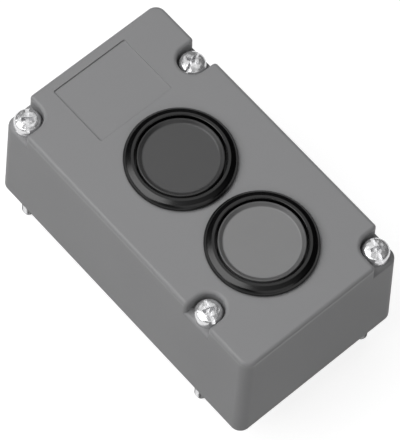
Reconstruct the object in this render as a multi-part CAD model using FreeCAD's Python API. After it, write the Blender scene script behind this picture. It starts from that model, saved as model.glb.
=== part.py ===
import FreeCAD, Part
import math
import os

# Two-button control module: a moulded housing on a flat base, with two
# lit pushbuttons, four captive fixing screws and the contacts underneath.
# Millimetres. Origin: centre of the base face. +Z up, +Y towards the label
# field, +X to the right seen from above.

# Housing
housing_length = 80.0
housing_width = 45.0
housing_height = 31.5
side_draft = 0.9  # how far each side leans in from the base to the top
corner_radius = 2.5
inner_corner_radius = 1.5
top_edge_radius = 0.9
side_wall = 2.5
top_wall = 3.0
base_rim = 1.3  # the rim of the housing beside the base plate

# Label field
label_width = 20.0
label_length = 15.7
label_setback = 3.4  # from the end of the housing
label_depth = 0.35
label_corner_radius = 0.4

# Captive screws
screw_side_inset = 4.3  # from the side of the housing
screw_end_inset = 4.5  # from the end of the housing, for the two at corners
screw_pair_offset = 12.1  # from a corner screw's line to the other's
screw_head_radius = 3.0
screw_head_height = 3.1
screw_head_crown = 1.4
screw_head_edge_radius = 0.3
screw_thread_radius = 1.5
screw_neck_radius = 1.2
screw_collar_length = 4.0  # full shank under the head
screw_reach = 13.0  # how far the thread stands out of the base
thread_start = 0.3  # below the base
thread_relief_radius = 1.15
thread_relief_length = 1.3
screw_point = 0.5
screw_lift = 13.0  # how far a loosened screw rises in its channel
slot_width = 0.8
slot_depth = 0.9
screw_turns = [52.0, 20.0, 69.0, 69.0]  # how far round each head stands
cross_size = 3.4
cross_width = 0.95
cross_depth = 1.5
screw_pocket_radius = 3.5
screw_pocket_depth = 4.0
notch_rim_radius = 0.8
pocket_floor_thickness = 3.0
screw_hole_clearance = 0.2
channel_radius = 2.6
channel_wall = 1.7
washer_thickness = 0.8
washer_bore_clearance = 0.05
washer_rim_clearance = 0.3

# Base plate and seals
plate_thickness = 3.0
plate_clearance = 0.1
seal_thickness = 0.6
contact_well_length = 12.0
contact_well_width = 24.0
contact_well_depth = 5.0
contact_well_radius = 2.0
contact_well_wall = 1.4
contact_well_clearance = 0.15
contact_well_setback = 13.0  # from the end of the housing to the row of pins
face_seal_width = 1.8
face_seal_depth = 1.6
face_seal_offset = 1.4  # from the well's wall to the seal
face_seal_clearance = 0.1

# Circuit board and what stands on it
board_thickness = 1.6
board_depth = 21.0  # from the top of the housing to the board's underside
board_margin = 0.5
board_hole_clearance = 0.1
post_radius = 2.4
post_bore_clearance = 0.05
post_side_inset = 6.2  # from the side of the housing
post_end_inset = 6.5  # from the end of the housing
post_middle_offset = 12.0  # from the middle of the housing, for the other two
board_screw_head_radius = 1.9
board_screw_head_height = 1.3
board_screw_length = 6.0
board_screw_radius = 0.75
board_screw_edge_radius = 0.6
board_screw_slot_width = 0.5
board_screw_slot_depth = 0.7
pin_radius = 0.65
pin_nose_radius = 0.3
pin_pitch = 5.0
pin_count = 4
pin_reach = 4.4  # how far a pin stands in the contact well
pin_tail = 1.0  # what shows of a pin above the board
pin_clearance = 0.05
carrier_length = 5.0
carrier_width = 19.6
chip_length = 17.9
chip_width = 7.5
chip_height = 2.3
chip_lead_count = 14
chip_lead_width = 0.42
chip_lead_reach = 1.4
chip_lead_thickness = 0.25
capacitor_radius = 2.5
capacitor_height = 5.4
capacitor_pitch = 7.0
capacitor_foot = 0.6
capacitor_edge_radius = 0.3
capacitor_gap = 1.2  # from the pins to the capacitors' feet
diode_length = 4.3
diode_width = 2.6
diode_height = 2.2
diode_pitch = 6.4
diode_edge = 0.28
diode_gap = 1.3  # from the lower switch block to the diodes

# Pushbuttons
button_pitch = 26.0
button_setback = 20.5  # from the end of the housing to the nearer button
button_travel = 2.5
hole_radius = 11.15
barrel_radius = 11.0
barrel_depth = 9.7  # below the top of the housing
key_width = 2.0
key_reach = 0.9
key_depth = 1.5
key_clearance = 0.15
collar_radius = 12.35
collar_edge = 0.45
collar_shoulder_radius = 11.8
collar_shoulder_drop = 0.4  # from the crest down to the shoulder
collar_shoulder_rounding = 0.8
collar_rise = 1.05
crest_radius = 10.65
crest_edge_radius = 0.2
collar_bore_radius = 9.9
gasket_thickness = 0.4
gasket_margin = 0.2
guide_radius = 9.0
guide_clearance = 0.05
guide_depth = 4.15  # from the top of the housing down to the guide bore
barrel_flange = 1.0
stem_hole_radius = 5.6
nut_radius = 12.6
nut_thickness = 3.5
nut_slot_count = 6
nut_slot_width = 2.4
nut_slot_depth = 0.8
nut_slot_height = 1.7
thread_clearance = 0.05

cap_radius = 9.4
cap_face_radius = 8.35
cap_rim_width = 0.35
cap_drop = 0.3  # the cap's rim below the collar's crest
cap_dish_depth = 0.6  # the cap's flat face below its rim
cap_edge_radius = 0.15
cap_dish_radius = 0.6
cap_height = 3.15
cap_face_thickness = 1.2
cap_skirt = 1.3
diffuser_thickness = 0.8
cap_clearance = 0.1
guide_length = 4.55
guide_wall = 1.9
guide_skirt = 2.6  # from the guide's lower end up to the spring's seat
stem_radius = 5.5
stem_bore_radius = 4.0
hook_reach = 0.6
hook_height = 1.1
hook_lip = 0.55
hook_count = 3
hook_angle = 50.0
ring_section_radius = 0.42
ring_clearance = 0.05
ring_groove_drop = 2.75  # from the cap's seat to the groove
return_wire_radius = 0.25
return_spring_turns = 4.0

led_radius = 2.5
led_flange_radius = 2.9
led_flange_height = 1.0
led_height = 8.6
led_lead_radius = 0.25
led_lead_pitch = 2.54
block_length = 16.0
block_width = 19.0
block_height = 5.9
block_roof = 1.0
block_floor = 0.4
block_corner_radius = 0.4
block_cavity_radius = 7.0
tappet_radius = 4.8
tappet_bore_radius = 3.3
tappet_flange_radius = 6.5
tappet_flange_height = 0.8
tappet_clearance = 0.1
contact_wire_radius = 0.15
contact_spring_turns = 3.0
bridge_thickness = 0.3
bridge_width = 1.5
terminal_width = 2.4
terminal_leg = 0.6
terminal_gap = 0.1  # left under the bridge when the button is down
lead_tail = 1.0  # what shows of a soldered lead under the board
lead_clearance = 0.1

# Worked out from the sizes above
half_length = housing_length / 2
half_width = housing_width / 2
corner_screw_y = half_length - screw_end_inset
side_screw_y = corner_screw_y - screw_pair_offset
screw_x = half_width - screw_side_inset
screw_places = [
    (-screw_x, corner_screw_y),
    (screw_x, side_screw_y),
    (-screw_x, -side_screw_y),
    (screw_x, -corner_screw_y),
]
pocket_floor = housing_height - screw_pocket_depth
screw_head_top = pocket_floor + screw_head_height
channel_top = pocket_floor - pocket_floor_thickness
screw_hole_radius = screw_thread_radius + screw_hole_clearance
boss_radius = channel_radius + channel_wall
plate_seat = plate_thickness + seal_thickness
lower_button_y = -half_length + button_setback
upper_button_y = lower_button_y + button_pitch
cavity_top = housing_height - top_wall
board_bottom = housing_height - board_depth
board_top = board_bottom + board_thickness
collar_seat = housing_height + gasket_thickness
collar_crest = collar_seat + collar_edge + collar_rise
cap_top = collar_crest - cap_drop
cap_face = cap_top - cap_dish_depth
cap_under = cap_face - cap_face_thickness
cap_seat = cap_top - cap_height
barrel_bottom = housing_height - barrel_depth
stem_bottom = barrel_bottom - hook_height
board_tail = board_bottom - lead_tail
contact_well_y = half_length - contact_well_setback
block_top = board_top + block_height
tappet_stop = block_top - block_roof
tappet_floor = board_top + block_floor
bridge_top = tappet_stop - tappet_clearance - tappet_flange_height
bridge_bottom = bridge_top - bridge_thickness
bridge_radius = tappet_flange_radius - bridge_width
well_roof = contact_well_depth + contact_well_wall
shank_shoulder = channel_top - screw_lift - washer_thickness


def point(x, y, z=0.0):
    return FreeCAD.Vector(x, y, z)


def cylinder(radius, low, high, x=0.0, y=0.0):
    return Part.makeCylinder(radius, high - low, point(x, y, low))


def block(width, length, low, high, x=0.0, y=0.0):
    corner = point(x - width / 2, y - length / 2, low)
    return Part.makeBox(width, length, high - low, corner)


def turned(profile, x=0.0, y=0.0):
    """A solid turned about an upright axis from (radius, height) points."""
    outline = Part.makePolygon([point(r, 0, z) for r, z in profile + profile[:1]])
    solid = Part.Face(outline).revolve(point(0, 0), point(0, 0, 1), 360)
    solid.translate(point(x, y))
    return solid


def rounded_outline(width, length, radius, z, x=0.0, y=0.0):
    """A closed rectangular wire with round corners."""
    a = width / 2 - radius
    b = length / 2 - radius
    core = [(a, b), (-a, b), (-a, -b), (a, -b), (a, b)]
    return Part.makePolygon([point(x + i, y + j, z) for i, j in core]).makeOffset2D(radius)


def rounded_block(width, length, radius, low, high, x=0.0, y=0.0):
    outline = rounded_outline(width, length, radius, low, x, y)
    return Part.Face(outline).extrude(point(0, 0, high - low))


def fused(solids):
    return solids[0].multiFuse(solids[1:]).removeSplitter()


def inset_at(height):
    """How far the housing's sides have leaned in at this height."""
    return side_draft * height / housing_height


def tapered_block(inset, radius, low, high):
    """A block whose sides stay this far inside the housing's outer faces."""
    wires = []
    for z in (low, high):
        lean = 2 * (inset + inset_at(z))
        wires.append(rounded_outline(housing_width - lean, housing_length - lean, radius, z))
    return Part.makeLoft(wires, True, True)


def middle(edge):
    return edge.valueAt((edge.FirstParameter + edge.LastParameter) / 2)


def rounded(solid, radius, chosen):
    """Rounds the edges whose middle point passes the test."""
    edges = [e for e in solid.Edges if chosen(middle(e), e)]
    return solid.makeFillet(radius, edges)


def screw_pocket(x, y):
    """A round-backed notch that opens through the side, and at a corner also through the end."""
    low = pocket_floor
    high = housing_height + top_edge_radius
    outward = math.copysign(screw_pocket_radius + screw_side_inset, x)
    size = 2 * screw_pocket_radius
    notch = [cylinder(screw_pocket_radius, low, high, x, y)]
    notch.append(block(abs(outward), size, low, high, x + outward / 2, y))
    if abs(y) > abs(side_screw_y):
        endward = math.copysign(screw_pocket_radius + screw_end_inset, y)
        notch.append(block(size, abs(endward), low, high, x, y + endward / 2))
        notch.append(block(abs(outward), abs(endward), low, high, x + outward / 2, y + endward / 2))
    return fused(notch)


def is_ledge_rim(place, skin):
    """True on the outer rim of the ledge beside a screw head."""
    level = abs(place.z - pocket_floor) < 0.01
    return level and skin.distToShape(Part.Vertex(place))[0] < 0.01


def is_pocket_rim(place, edge):
    """True on the upper rim of a screw's notch."""
    reach = screw_pocket_radius + screw_side_inset / 2
    near = min(math.hypot(place.x - x, place.y - y) for x, y in screw_places) < reach
    return near and edge.BoundBox.ZMin > housing_height - top_edge_radius - 0.05


def button_key(radius, width, low, high, y):
    """The lug that stops a button turning, on the side towards the label."""
    return block(width, radius, low, high, 0, y + radius / 2)


def housing():
    outer = tapered_block(0, corner_radius, 0, housing_height)
    outer = rounded(outer, top_edge_radius, lambda c, e: c.z > housing_height - 0.01)
    smooth = outer.Shells[0]
    for x, y in screw_places:
        outer = outer.cut(screw_pocket(x, y))
    outer = rounded(
        outer, notch_rim_radius, lambda c, e: is_pocket_rim(c, e) or is_ledge_rim(c, smooth)
    )
    hollow = tapered_block(side_wall, inner_corner_radius, 0, cavity_top)
    bosses = [cylinder(boss_radius, plate_seat, cavity_top, x, y) for x, y in screw_places]
    well = well_outline(contact_well_wall + contact_well_clearance, 0, well_roof)
    hollow = hollow.cut(fused(bosses).cut(well))
    shell = outer.cut(hollow)
    shell = shell.cut(plate_outline(0, plate_seat, 0))
    for x, y in screw_places:
        shell = shell.cut(cylinder(channel_radius, 0, channel_top, x, y))
        shell = shell.cut(cylinder(screw_hole_radius, 0, housing_height, x, y))
    for y in (upper_button_y, lower_button_y):
        shell = shell.cut(cylinder(hole_radius, cavity_top, housing_height, 0, y))
        lug = barrel_radius + key_reach + key_clearance
        shell = shell.cut(
            button_key(lug, key_width + 2 * key_clearance, cavity_top, housing_height, y)
        )
    field_y = half_length - label_setback - label_length / 2
    field = rounded_block(
        label_width,
        label_length,
        label_corner_radius,
        housing_height - label_depth,
        housing_height,
        0,
        field_y,
    )
    return shell.cut(field)


def plate_outline(low, high, clearance):
    less = 2 * (base_rim + clearance)
    return rounded_block(
        housing_width - less, housing_length - less, corner_radius - base_rim / 2, low, high
    )


def well_outline(grow, low, high):
    return rounded_block(
        contact_well_width + 2 * grow,
        contact_well_length + 2 * grow,
        contact_well_radius + grow,
        low,
        high,
        0,
        contact_well_y,
    )


def pin_places():
    first = -pin_pitch * (pin_count - 1) / 2
    return [(first + i * pin_pitch, contact_well_y) for i in range(pin_count)]


def post_places():
    x = half_width - post_side_inset
    y = half_length - post_end_inset
    return [(x, y), (-x, -y), (-x, post_middle_offset), (x, -post_middle_offset)]


def base_plate():
    plate = plate_outline(0, plate_thickness, plate_clearance)
    posts = [cylinder(post_radius, plate_thickness, board_bottom, x, y) for x, y in post_places()]
    plate = fused([plate, well_outline(contact_well_wall, 0, well_roof)] + posts)
    plate = plate.cut(well_outline(0, 0, contact_well_depth))
    plate = plate.cut(face_seal_ring(0))
    for x, y in screw_places:
        plate = plate.cut(cylinder(screw_hole_radius, 0, plate_thickness, x, y))
    for x, y in post_places():
        low = board_top - board_screw_length
        bore = board_screw_radius + post_bore_clearance
        plate = plate.cut(cylinder(bore, low, board_bottom, x, y))
    for x, y in pin_places():
        plate = plate.cut(cylinder(pin_radius + pin_clearance, 0, well_roof, x, y))
    return plate


def face_seal_ring(clearance):
    inner = face_seal_offset + clearance
    outer = face_seal_offset + face_seal_width - clearance
    return well_outline(outer, 0, face_seal_depth).cut(well_outline(inner, 0, face_seal_depth))


def housing_seal():
    """A flat seal between the base plate and the seat in the housing, with an eye round each screw."""
    seal = plate_outline(plate_thickness, plate_seat, plate_clearance)
    opening = tapered_block(side_wall, inner_corner_radius, plate_thickness, plate_seat)
    eyes = [cylinder(boss_radius, plate_thickness, plate_seat, x, y) for x, y in screw_places]
    seal = seal.cut(opening.cut(fused(eyes)))
    for x, y in screw_places:
        seal = seal.cut(cylinder(channel_radius, plate_thickness, plate_seat, x, y))
    return seal.cut(well_outline(contact_well_wall + contact_well_clearance, 0, well_roof))


def circuit_board():
    room = 2 * (side_wall + board_margin + inset_at(board_top))
    board = block(housing_width - room, housing_length - room, board_bottom, board_top)
    gap = boss_radius + board_margin
    for x, y in screw_places:
        board = board.cut(cylinder(gap, board_bottom, board_top, x, y))
        outward = math.copysign(gap, x)
        board = board.cut(block(gap, 2 * gap, board_bottom, board_top, x + outward / 2, y))
        if abs(y) > abs(side_screw_y):
            endward = math.copysign(gap, y)
            board = board.cut(block(2 * gap, gap, board_bottom, board_top, x, y + endward / 2))
    for x, y in post_places():
        bore = board_screw_radius + board_hole_clearance
        board = board.cut(cylinder(bore, board_bottom, board_top, x, y))
    for x, y in pin_places():
        board = board.cut(cylinder(pin_radius + pin_clearance, board_bottom, board_top, x, y))
    for button_y in (upper_button_y, lower_button_y):
        for x, y in led_lead_places(button_y):
            board = board.cut(
                cylinder(led_lead_radius + lead_clearance, board_bottom, board_top, x, y)
            )
        for leg in terminal_legs(button_y, lead_clearance):
            board = board.cut(leg)
    return board


def board_screws():
    screws = []
    for x, y in post_places():
        head_top = board_top + board_screw_head_height
        head = cylinder(board_screw_head_radius, board_top, head_top, x, y)
        head = rounded(head, board_screw_edge_radius, lambda c, e: c.z > head_top - 0.01)
        slot_floor = head_top - board_screw_slot_depth
        slot = block(2 * board_screw_head_radius, board_screw_slot_width, slot_floor, head_top, x, y)
        thread = cylinder(board_screw_radius, board_top - board_screw_length, board_top, x, y)
        screws.append(fused([head, thread]).cut(slot))
    return Part.makeCompound(screws)


def bus_pins():
    pins = []
    for x, y in pin_places():
        low = contact_well_depth - pin_reach
        pin = cylinder(pin_radius, low, board_top + pin_tail, x, y)
        pins.append(rounded(pin, pin_nose_radius, lambda c, e: c.z < low + 0.01))
    return Part.makeCompound(pins)


def contact_carrier():
    carrier = block(
        carrier_width, carrier_length, well_roof, board_bottom, 0, contact_well_y
    )
    for x, y in pin_places():
        carrier = carrier.cut(cylinder(pin_radius + pin_clearance, well_roof, board_bottom, x, y))
    return carrier


def bus_chip():
    """The bus controller in its gull-wing package, under the board between the two buttons."""
    y = (upper_button_y + lower_button_y) / 2
    foot = board_bottom - chip_lead_thickness
    body_top = board_bottom - chip_lead_thickness / 2
    lead_pitch = chip_length / chip_lead_count
    span = chip_width + 2 * chip_lead_reach
    parts = [block(chip_length, chip_width, board_bottom - chip_height, body_top, 0, y)]
    for i in range(chip_lead_count):
        x = -chip_length / 2 + (i + 0.5) * lead_pitch
        parts.append(block(chip_lead_width, span, foot, board_bottom, x, y))
    return fused(parts)


def capacitors():
    cans = []
    y = contact_well_y + pin_radius + capacitor_gap + capacitor_radius
    for side in (-1, 1):
        x = side * capacitor_pitch / 2
        foot = block(
            2 * capacitor_radius, 2 * capacitor_radius, board_top, board_top + capacitor_foot, x, y
        )
        can = cylinder(capacitor_radius, board_top, board_top + capacitor_height, x, y)
        top = board_top + capacitor_height
        can = rounded(can, capacitor_edge_radius, lambda c, e: c.z > top - 0.01)
        cans.append(fused([foot, can]))
    return Part.makeCompound(cans)


def surge_diodes():
    pieces = []
    y = lower_button_y - block_length / 2 - diode_gap - diode_width / 2
    for side in (-1, 1):
        x = side * diode_pitch / 2
        body = block(diode_length, diode_width, board_top, board_top + diode_height, x, y)
        pieces.append(body.makeChamfer(diode_edge, body.Edges))
    return Part.makeCompound(pieces)


def collar(y):
    """The black collar with the barrel under it, one moulding, and the lug that stops it turning."""
    edge = collar_seat + collar_edge
    bore_floor = housing_height - guide_depth
    profile = [
        (stem_hole_radius, barrel_bottom),
        (barrel_radius, barrel_bottom),
        (barrel_radius, collar_seat),
        (collar_radius, collar_seat),
        (collar_radius, edge),
        (collar_shoulder_radius, collar_crest - collar_shoulder_drop),
        (crest_radius, collar_crest),
        (collar_bore_radius, collar_crest),
        (collar_bore_radius, bore_floor),
        (guide_radius, bore_floor),
        (guide_radius, barrel_bottom + barrel_flange),
        (stem_hole_radius, barrel_bottom + barrel_flange),
    ]
    solid = turned(profile)
    solid = rounded(
        solid,
        collar_shoulder_rounding,
        lambda c, e: edge - 0.01 < c.z < collar_crest - 0.01 and e.BoundBox.ZLength < 0.01,
    )
    solid = rounded(solid, crest_edge_radius, lambda c, e: c.z > collar_crest - 0.01)
    solid.translate(point(0, y))
    lug = button_key(barrel_radius + key_reach, key_width, housing_height - key_depth, collar_seat, y)
    lug = lug.cut(cylinder(guide_radius + guide_clearance, 0, collar_crest, 0, y))
    lug = lug.cut(cylinder(collar_bore_radius, 0, collar_crest, 0, y))
    return fused([solid, lug])


def collar_gasket(y):
    inner = hole_radius + gasket_margin
    outer = collar_radius - gasket_margin
    ring = cylinder(outer, housing_height, collar_seat, 0, y)
    ring = ring.cut(cylinder(inner, housing_height, collar_seat, 0, y))
    lug = barrel_radius + key_reach + key_clearance
    width = key_width + 2 * key_clearance
    return ring.cut(button_key(lug, width, housing_height, collar_seat, y))


def ring_nut(y):
    low = cavity_top - nut_thickness
    nut = cylinder(nut_radius, low, cavity_top, 0, y)
    nut = nut.cut(cylinder(barrel_radius + thread_clearance, low, cavity_top, 0, y))
    for i in range(nut_slot_count):
        slot = block(
            2 * nut_slot_depth, nut_slot_width, low, low + nut_slot_height, nut_radius, 0
        )
        slot.rotate(point(0, 0), point(0, 0, 1), (i + 0.5) * 360 / nut_slot_count)
        slot.translate(point(0, y))
        nut = nut.cut(slot)
    return nut


def cap(y):
    """The translucent button cap, a shallow cup turned over the plunger, with a dished face."""
    skirt_radius = cap_radius - cap_skirt
    profile = [
        (0, cap_under),
        (skirt_radius, cap_under),
        (skirt_radius, cap_seat),
        (cap_radius, cap_seat),
        (cap_radius, cap_top),
        (cap_radius - cap_rim_width, cap_top),
        (cap_face_radius, cap_face),
        (0, cap_face),
    ]
    solid = turned(profile)
    solid = rounded(
        solid,
        cap_dish_radius,
        lambda c, e: abs(c.z - cap_face) < 0.01 and e.BoundBox.XLength > cap_face_radius,
    )
    solid = rounded(solid, cap_edge_radius, lambda c, e: c.z > cap_top - 0.01)
    solid.translate(point(0, y))
    return solid


def diffuser(y):
    radius = cap_radius - cap_skirt - cap_clearance
    return cylinder(radius, cap_under - diffuser_thickness, cap_under, 0, y)


def plunger(y):
    """The carrier under the cap: a guide that runs in the barrel, and a hollow stem with snap hooks."""
    outer = guide_radius - guide_clearance
    spigot = cap_radius - cap_skirt - cap_clearance
    spigot_top = cap_under - diffuser_thickness
    guide_bottom = cap_seat - guide_length
    groove_top = cap_seat - ring_groove_drop
    groove_bottom = groove_top - 2 * (ring_section_radius + ring_clearance)
    groove_floor = outer - 2 * ring_section_radius - ring_clearance
    spring_seat = guide_bottom + guide_skirt
    profile = [
        (stem_bore_radius, stem_bottom),
        (stem_radius, stem_bottom),
        (stem_radius, spring_seat),
        (outer - guide_wall, spring_seat),
        (outer - guide_wall, guide_bottom),
        (outer, guide_bottom),
        (outer, groove_bottom),
        (groove_floor, groove_bottom),
        (groove_floor, groove_top),
        (outer, groove_top),
        (outer, cap_seat),
        (spigot, cap_seat),
        (spigot, spigot_top),
        (stem_bore_radius, spigot_top),
    ]
    solid = turned(profile)
    hooks = turned(
        [
            (stem_bore_radius, stem_bottom),
            (stem_radius, stem_bottom),
            (stem_radius + hook_reach, barrel_bottom - hook_lip),
            (stem_radius + hook_reach, barrel_bottom),
            (stem_bore_radius, barrel_bottom),
        ]
    )
    for i in range(hook_count):
        wedge = Part.makeCylinder(
            collar_radius, hook_height, point(0, 0, stem_bottom), point(0, 0, 1), hook_angle
        )
        wedge.rotate(point(0, 0), point(0, 0, 1), i * 360 / hook_count)
        solid = solid.fuse(hooks.common(wedge))
    solid = solid.removeSplitter()
    solid.translate(point(0, y))
    return solid


def plunger_ring(y):
    """The rubber ring in the plunger's groove."""
    radius = guide_radius - guide_clearance - ring_section_radius
    z = cap_seat - ring_groove_drop - ring_section_radius - ring_clearance
    return Part.makeTorus(radius, ring_section_radius, point(0, y, z))


def coil(radius, wire, turns, low, high, y):
    """A wire spring between two seats, with six flats round the wire."""
    first = low + wire
    rise = high - low - 2 * wire
    path = Part.makeHelix(rise / turns, rise, radius)
    path.translate(point(0, 0, first))
    around = [math.radians(60 * i) for i in range(7)]
    section = Part.makePolygon(
        [point(radius + wire * math.cos(a), 0, first + wire * math.sin(a)) for a in around]
    )
    solid = Part.Wire(path.Edges).makePipeShell([section], True, True)
    solid.translate(point(0, y))
    return solid


def return_spring(y):
    guide_bottom = cap_seat - guide_length
    low = barrel_bottom + barrel_flange
    return coil(
        (stem_radius + guide_radius - guide_clearance - guide_wall) / 2,
        return_wire_radius,
        return_spring_turns,
        low,
        guide_bottom + guide_skirt,
        y,
    )


def led(y):
    flange = cylinder(led_flange_radius, board_top, board_top + led_flange_height, 0, y)
    top = board_top + led_height
    lens = cylinder(led_radius, board_top, top - led_radius, 0, y)
    dome = Part.makeSphere(led_radius, point(0, y, top - led_radius))
    leads = [
        cylinder(led_lead_radius, board_tail, board_top, x, at) for x, at in led_lead_places(y)
    ]
    return fused([flange, lens, dome] + leads)


def led_lead_places(y):
    return [(side * led_lead_pitch / 2, y) for side in (-1, 1)]


def terminal_legs(y, clearance):
    size = terminal_leg + 2 * clearance
    x = tappet_flange_radius - bridge_width / 2
    return [block(size, size, board_tail, tappet_floor, side * x, y) for side in (-1, 1)]


def fixed_contacts(y):
    """The two contacts on the chamber's floor that the bridge joins, with their soldered legs."""
    high = bridge_bottom - button_travel - terminal_gap
    contacts = []
    for leg, side in zip(terminal_legs(y, 0), (-1, 1)):
        x = side * (tappet_flange_radius - bridge_width / 2)
        pad = block(bridge_width, terminal_width, tappet_floor, high, x, y)
        contacts.append(fused([leg, pad]))
    return Part.makeCompound(contacts)


def contact_block(y):
    """The switch block round the lamp, with a round chamber for the tappet's flange."""
    solid = block(block_width, block_length, board_top, block_top, 0, y)
    solid = rounded(
        solid, block_corner_radius, lambda c, e: e.BoundBox.ZLength > block_height - 0.01
    )
    chamber = cylinder(block_cavity_radius, tappet_floor, tappet_stop, 0, y)
    way = cylinder(tappet_radius + tappet_clearance, tappet_floor, block_top, 0, y)
    lamp = cylinder(led_flange_radius + tappet_clearance, board_top, block_top, 0, y)
    solid = solid.cut(chamber).cut(way).cut(lamp)
    for leg in terminal_legs(y, lead_clearance):
        solid = solid.cut(leg)
    return solid


def tappet(y):
    """The sleeve that the stem pushes down, round the lamp."""
    flange_top = tappet_stop - tappet_clearance
    profile = [
        (tappet_bore_radius, bridge_top),
        (tappet_flange_radius, bridge_top),
        (tappet_flange_radius, flange_top),
        (tappet_radius, flange_top),
        (tappet_radius, stem_bottom),
        (tappet_bore_radius, stem_bottom),
    ]
    return turned(profile, 0, y)


def contact_bridge(y):
    """The moving contact, a copper ring on the underside of the tappet's flange."""
    ring = cylinder(tappet_flange_radius, bridge_bottom, bridge_top, 0, y)
    return ring.cut(cylinder(bridge_radius, bridge_bottom, bridge_top, 0, y))


def contact_spring(y):
    return coil(
        (tappet_bore_radius + bridge_radius) / 2,
        contact_wire_radius,
        contact_spring_turns,
        tappet_floor,
        bridge_top,
        y,
    )


def fixing_screw(x, y, turn):
    """A long screw with a domed head, threaded below the base and thinned where its washer sits."""
    top = screw_head_top
    dome_radius = (screw_head_radius**2 + screw_head_crown**2) / (2 * screw_head_crown)
    head = cylinder(screw_head_radius, pocket_floor, top)
    head = head.common(Part.makeSphere(dome_radius, point(0, 0, top - dome_radius)))
    rim = top - screw_head_crown
    head = rounded(head, screw_head_edge_radius, lambda c, e: abs(c.z - rim) < 0.01)
    head = head.cut(block(2 * screw_head_radius, slot_width, top - slot_depth, top))
    for arm in ((cross_size, cross_width), (cross_width, cross_size)):
        head = head.cut(block(*arm, top - cross_depth, top))
    relief_top = thread_relief_length - thread_start
    collar_bottom = pocket_floor - screw_collar_length
    shank = turned(
        [
            (0, -screw_reach),
            (screw_thread_radius - screw_point, -screw_reach),
            (screw_thread_radius, -screw_reach + screw_point),
            (screw_thread_radius, -thread_start),
            (thread_relief_radius, -thread_start),
            (thread_relief_radius, relief_top),
            (screw_thread_radius, relief_top),
            (screw_thread_radius, shank_shoulder),
            (screw_neck_radius, shank_shoulder),
            (screw_neck_radius, collar_bottom),
            (screw_thread_radius, collar_bottom),
            (screw_thread_radius, pocket_floor),
            (0, pocket_floor),
        ]
    )
    screw = head.fuse(shank)
    screw.rotate(point(0, 0), point(0, 0, 1), turn)
    screw.translate(point(x, y))
    return screw


def retaining_washer(x, y):
    """The washer on the shank's shoulder that stops a loosened screw at the channel's top."""
    high = shank_shoulder + washer_thickness
    ring = cylinder(channel_radius - washer_rim_clearance, shank_shoulder, high, x, y)
    bore = screw_neck_radius + washer_bore_clearance
    return ring.cut(cylinder(bore, shank_shoulder, high, x, y))


def write(name, shape):
    shape.exportStep("parts/" + name + ".step")


def write_module():
    write("housing", housing())
    write("base_plate", base_plate())
    write("housing_seal", housing_seal())
    write("face_seal", face_seal_ring(face_seal_clearance))
    write("circuit_board", circuit_board())
    write("board_screws", board_screws())
    write("contact_carrier", contact_carrier())
    write("bus_pins", bus_pins())
    write("bus_chip", bus_chip())
    write("capacitors", capacitors())
    write("surge_diodes", surge_diodes())
    button_pieces = [
        ("collar", collar),
        ("collar_gasket", collar_gasket),
        ("ring_nut", ring_nut),
        ("cap", cap),
        ("diffuser", diffuser),
        ("plunger", plunger),
        ("plunger_ring", plunger_ring),
        ("return_spring", return_spring),
        ("led", led),
        ("contact_block", contact_block),
        ("fixed_contacts", fixed_contacts),
        ("tappet", tappet),
        ("contact_bridge", contact_bridge),
        ("contact_spring", contact_spring),
    ]
    for button, y in (("upper", upper_button_y), ("lower", lower_button_y)):
        for name, make in button_pieces:
            write(button + "_" + name, make(y))
    for number, (x, y) in enumerate(screw_places, 1):
        write("fixing_screw_" + str(number), fixing_screw(x, y, screw_turns[number - 1]))
        write("retaining_washer_" + str(number), retaining_washer(x, y))


os.makedirs("parts", exist_ok=True)
write_module()
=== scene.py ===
import math

import bmesh
import bpy
from bpy.props import FloatProperty, FloatVectorProperty, IntProperty, PointerProperty
from mathutils import Matrix, Quaternion, Vector


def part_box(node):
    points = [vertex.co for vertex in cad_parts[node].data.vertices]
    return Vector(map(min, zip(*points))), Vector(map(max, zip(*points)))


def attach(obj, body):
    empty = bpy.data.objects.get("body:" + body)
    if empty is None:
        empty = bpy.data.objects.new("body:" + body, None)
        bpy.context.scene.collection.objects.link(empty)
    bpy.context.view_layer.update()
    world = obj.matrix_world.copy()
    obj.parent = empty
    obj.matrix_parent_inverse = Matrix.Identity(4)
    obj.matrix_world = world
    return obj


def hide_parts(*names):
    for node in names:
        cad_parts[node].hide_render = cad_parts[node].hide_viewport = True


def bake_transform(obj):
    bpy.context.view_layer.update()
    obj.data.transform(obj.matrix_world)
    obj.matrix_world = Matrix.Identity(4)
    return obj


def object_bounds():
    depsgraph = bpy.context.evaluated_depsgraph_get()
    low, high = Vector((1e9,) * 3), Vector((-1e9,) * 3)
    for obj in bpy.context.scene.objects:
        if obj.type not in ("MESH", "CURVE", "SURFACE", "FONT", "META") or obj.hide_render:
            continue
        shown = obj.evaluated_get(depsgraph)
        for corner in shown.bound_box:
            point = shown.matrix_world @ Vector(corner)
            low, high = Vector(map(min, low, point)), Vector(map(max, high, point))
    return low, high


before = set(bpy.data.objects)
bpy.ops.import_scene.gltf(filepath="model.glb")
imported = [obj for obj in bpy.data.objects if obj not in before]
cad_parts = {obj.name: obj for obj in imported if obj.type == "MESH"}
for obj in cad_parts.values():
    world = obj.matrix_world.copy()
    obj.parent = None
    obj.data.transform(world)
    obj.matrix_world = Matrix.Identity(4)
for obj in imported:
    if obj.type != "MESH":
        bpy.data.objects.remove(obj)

bl_info = {
    "name": "Pushbutton control module",
    "version": (1, 0, 0),
    "blender": (4, 5, 0),
    "location": "3D View > Sidebar > Control module",
    "description": "Screws, springs, finishes and studio for a two-button control module",
    "category": "Object",
}

CAD_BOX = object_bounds()
BUTTONS = ("upper", "lower")
SCREWS = (1, 2, 3, 4)
MM = 0.001
MERGE_DISTANCE = 0.001 * MM


def length(name, default, description):
    """A size in millimetres, kept in metres."""
    return FloatProperty(name=name, description=description, default=default * MM, unit="LENGTH")


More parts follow.
